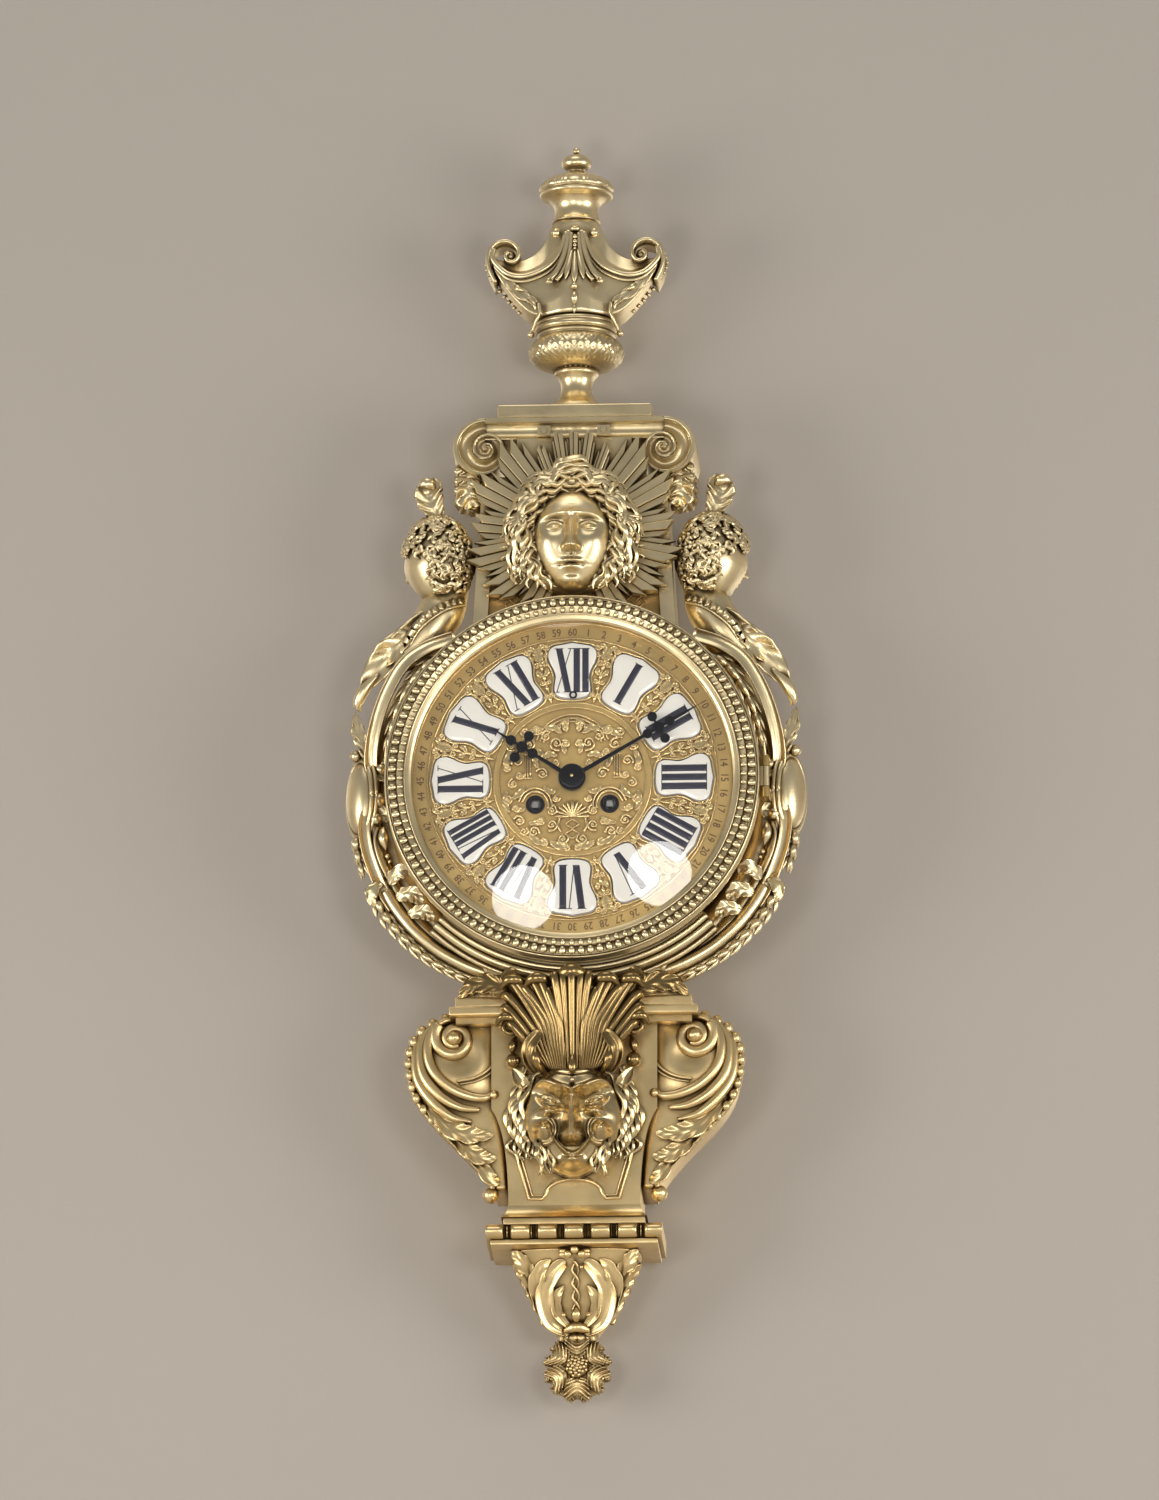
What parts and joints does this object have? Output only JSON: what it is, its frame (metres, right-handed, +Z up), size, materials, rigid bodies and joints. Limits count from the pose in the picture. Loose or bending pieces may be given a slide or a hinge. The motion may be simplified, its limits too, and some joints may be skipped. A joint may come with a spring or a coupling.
{
  "type": "cartel clock",
  "caption": "Wall-hung gilt brass cartel clock: urn and sun mask over a round enamel-plaque dial under a hinged domed glass, satyr console below, spring movement with pendulum and bell.",
  "frame": {"origin": "Middle of the hanging hole, on the wall plane behind the pedestal.", "axes": "+Z up, +Y into the wall along the hanging hole, +X to the right as the dial is read."},
  "size_m": [0.327, 0.1244, 0.9051],
  "materials": {
    "gilt": "satin gilding",
    "warm_gilt": "satin gilding, warmer",
    "brass": "polished",
    "steel": "bright",
    "blued_steel": "blued, near black",
    "enamel": "white glaze",
    "glass": "clear, domed"
  },
  "bodies": {
    "case": {"drum": "warm_gilt", "upper_pedestal": "gilt", "trellis_panel": "warm_gilt", "capital": "gilt", "urn_plinth": "gilt", "urn_foot": "gilt", "urn_bowl": "gilt", "urn_lid": "gilt", "urn_tie_rod": "steel", "sunburst": "gilt", "sun_mask": "gilt", "mask_lugs": "gilt", "pedestal_bolsters": "gilt", "head_left": "gilt", "head_right": "gilt", "side_frame_left": "gilt", "side_frame_right": "gilt", "console_cornice": "warm_gilt", "console_block": "warm_gilt", "console_volute_left": "warm_gilt", "console_volute_right": "warm_gilt", "leaf_crest": "warm_gilt", "satyr_mask": "warm_gilt", "gadroon_moulding": "warm_gilt", "tail_bracket": "warm_gilt", "rosette": "warm_gilt", "hanging_plate": "steel", "steady_plate": "steel", "case_screws": "steel", "dial_pan": "brass", "dial_plate": "warm_gilt", "enamel_plaques": "enamel", "front_plate": "brass", "back_plate": "brass", "plate_pillars": "brass", "suspension_cock": "brass", "bell": "brass", "bell_stand": "steel", "bezel_hinge": "brass"},
    "bezel": {"bezel_ring": "gilt", "bead_ring": "gilt", "glass": "glass", "glass_ring": "brass"},
    "minute_work": {"minute_hand": "blued_steel", "centre_wheel": "brass"},
    "hour_work": {"hour_hand": "blued_steel", "hour_wheel": "brass"},
    "motion_wheel": {"minute_wheel": "brass"},
    "going_barrel_body": {"going_barrel": "brass"},
    "strike_barrel_body": {"strike_barrel": "brass"},
    "going_winder": {"going_arbor": "steel"},
    "strike_winder": {"strike_arbor": "steel"},
    "intermediate": {"intermediate_wheel": "brass"},
    "third": {"third_wheel": "brass"},
    "escape": {"escape_wheel": "brass"},
    "anchor": {"pallet_anchor": "steel"},
    "pendulum_body": {"pendulum": "brass"},
    "pins": {"pin_wheel": "brass"},
    "fan": {"fly": "brass"},
    "striker": {"hammer": "steel"}
  },
  "joints": [
    {"name": "bezel_swing", "type": "hinge", "parent": "case", "child": "bezel", "pos_m": [0.1354, -0.093, -0.2], "axis": [0, 0, 1], "range_deg": [0, 100]},
    {"name": "minute_turn", "type": "hinge", "parent": "case", "child": "minute_work", "pos_m": [0, -0.06, -0.2], "axis": [0, 1, 0], "continuous": true},
    {"name": "hour_turn", "type": "hinge", "parent": "case", "child": "hour_work", "pos_m": [0, -0.06, -0.2], "axis": [0, 1, 0], "continuous": true},
    {"name": "motion_turn", "type": "hinge", "parent": "case", "child": "motion_wheel", "pos_m": [0, -0.06, -0.188], "axis": [0, 1, 0], "continuous": true},
    {"name": "going_barrel_turn", "type": "hinge", "parent": "case", "child": "going_barrel_body", "pos_m": [0.026, -0.06, -0.218], "axis": [0, 1, 0], "continuous": true},
    {"name": "intermediate_turn", "type": "hinge", "parent": "case", "child": "intermediate", "pos_m": [0.0191, -0.06, -0.19128], "axis": [0, 1, 0], "continuous": true},
    {"name": "third_turn", "type": "hinge", "parent": "case", "child": "third", "pos_m": [0, -0.06, -0.1802], "axis": [0, 1, 0], "continuous": true},
    {"name": "escape_turn", "type": "hinge", "parent": "case", "child": "escape", "pos_m": [0, -0.06, -0.162], "axis": [0, 1, 0], "continuous": true},
    {"name": "going_winding", "type": "hinge", "parent": "case", "child": "going_winder", "pos_m": [0.026, -0.06, -0.218], "axis": [0, 1, 0], "continuous": true},
    {"name": "strike_winding", "type": "hinge", "parent": "case", "child": "strike_winder", "pos_m": [-0.026, -0.06, -0.218], "axis": [0, 1, 0], "continuous": true},
    {"name": "pin_wheel_turn", "type": "hinge", "parent": "case", "child": "pins", "pos_m": [-0.02121, -0.06, -0.19082], "axis": [0, 1, 0], "continuous": true},
    {"name": "strike_barrel_turn", "type": "hinge", "parent": "case", "child": "strike_barrel_body", "pos_m": [-0.026, -0.06, -0.218], "axis": [0, 1, 0], "continuous": true},
    {"name": "fly_turn", "type": "hinge", "parent": "case", "child": "fan", "pos_m": [-0.02752, -0.06, -0.17348], "axis": [0, 1, 0], "continuous": true},
    {"name": "pendulum_swing", "type": "hinge", "parent": "case", "child": "pendulum_body", "pos_m": [0, -0.06, -0.149], "axis": [0, 1, 0], "range_deg": [-4, 4]},
    {"name": "anchor_rock", "type": "hinge", "parent": "case", "child": "anchor", "pos_m": [0, -0.06, -0.149], "axis": [0, 1, 0], "range_deg": [-4, 4]},
    {"name": "hammer_lift", "type": "hinge", "parent": "case", "child": "striker", "pos_m": [-0.047, -0.06, -0.188], "axis": [0, 1, 0], "range_deg": [0, 14]}
  ],
  "couplings": [
    {"joint": "hour_turn", "follows": "minute_turn", "ratio": 0.083333},
    {"joint": "motion_turn", "follows": "minute_turn", "ratio": -0.33333},
    {"joint": "intermediate_turn", "follows": "minute_turn", "ratio": -0.16667},
    {"joint": "going_barrel_turn", "follows": "minute_turn", "ratio": 0.025},
    {"joint": "third_turn", "follows": "minute_turn", "ratio": -10},
    {"joint": "escape_turn", "follows": "minute_turn", "ratio": 120},
    {"joint": "strike_barrel_turn", "follows": "pin_wheel_turn", "ratio": -0.15},
    {"joint": "fly_turn", "follows": "pin_wheel_turn", "ratio": -7.2},
    {"joint": "anchor_rock", "follows": "pendulum_swing", "ratio": 1}
  ]
}
